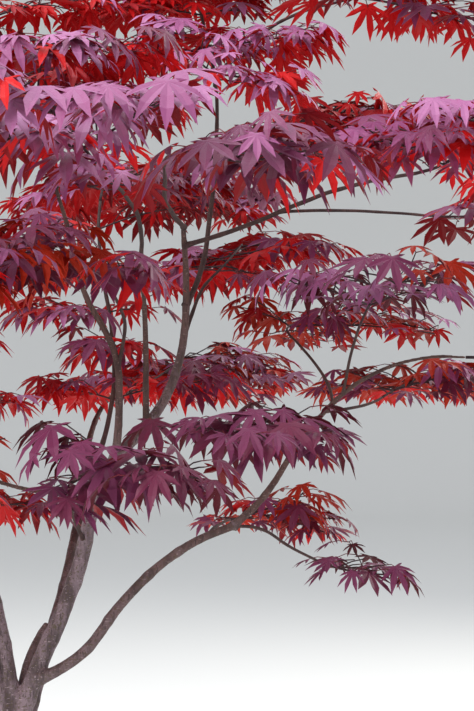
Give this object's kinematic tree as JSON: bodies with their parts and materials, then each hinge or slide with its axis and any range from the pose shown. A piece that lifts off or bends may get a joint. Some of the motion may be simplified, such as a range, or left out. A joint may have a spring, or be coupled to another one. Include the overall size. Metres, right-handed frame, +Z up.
{
  "type": "garden japanese maple, rooted",
  "caption": "Young ornamental maple rooted in the ground: short flared trunk, slender forking stems and flat layered shelves of red-purple lobed leaves.",
  "frame": {"origin": "on the ground, in the middle of the flat cut under the trunk", "axes": "+Z up, +X to the right and -Y towards the viewer of the picture"},
  "size_m": [1.5233, 1.3693, 1.3812],
  "materials": {
    "old_bark": "grey-mauve smooth bark with pale pores and olive-brown speckle",
    "young_bark": "dark red-brown bark of young stems and twigs",
    "purple_leaves": "burgundy-purple leaves with a mauve sheen, red underneath",
    "red_leaves": "bright red to orange-red leaves, as lit from behind"
  },
  "bodies": {
    "root": {"trunk": "old_bark", "leader": "old_bark", "right_stem": "old_bark", "right_front_bough": "young_bark", "middle_stem": "old_bark", "middle_front_bough": "young_bark", "left_stem": "old_bark", "left_inner_twig": "young_bark", "right_bough": "young_bark", "right_fork": "young_bark", "top_stem": "young_bark", "top_fork": "young_bark", "crown_stem": "young_bark", "top_back_bough": "young_bark", "left_crown_stem": "young_bark", "low_bough": "old_bark", "low_outer_bough": "old_bark", "low_side_twig": "young_bark", "low_rising_twig": "young_bark", "low_upright_twig": "young_bark", "hanging_twig": "young_bark", "low_back_twig": "young_bark", "left_twig": "old_bark", "front_twig": "young_bark", "front_left_twig": "young_bark", "pruned_stub": "old_bark", "west_stem": "old_bark", "west_bough": "young_bark", "low_west_stem": "old_bark", "front_west_bough": "young_bark", "back_stem": "old_bark", "back_crown_bough": "young_bark", "centre_back_bough": "young_bark", "near_left_foliage": "purple_leaves", "near_centre_foliage": "purple_leaves", "top_left_foliage": "purple_leaves", "mid_left_foliage": "purple_leaves", "top_centre_foliage": "red_leaves", "top_right_foliage": "red_leaves", "upper_right_foliage": "purple_leaves", "right_under_foliage": "red_leaves", "right_mid_foliage": "purple_leaves", "right_back_foliage": "red_leaves", "right_low_foliage": "red_leaves", "right_tip_foliage": "purple_leaves", "centre_back_foliage": "red_leaves", "back_low_foliage": "red_leaves", "back_crown_foliage": "red_leaves", "low_front_foliage": "purple_leaves", "low_front_left_foliage": "purple_leaves", "low_left_foliage": "red_leaves", "low_right_foliage": "red_leaves", "hanging_foliage": "purple_leaves", "crown_top_foliage": "red_leaves", "crown_back_foliage": "red_leaves", "crown_left_foliage": "red_leaves", "west_top_foliage": "red_leaves", "west_mid_foliage": "red_leaves", "west_low_foliage": "purple_leaves", "front_west_foliage": "purple_leaves"}
  },
  "joints": []
}
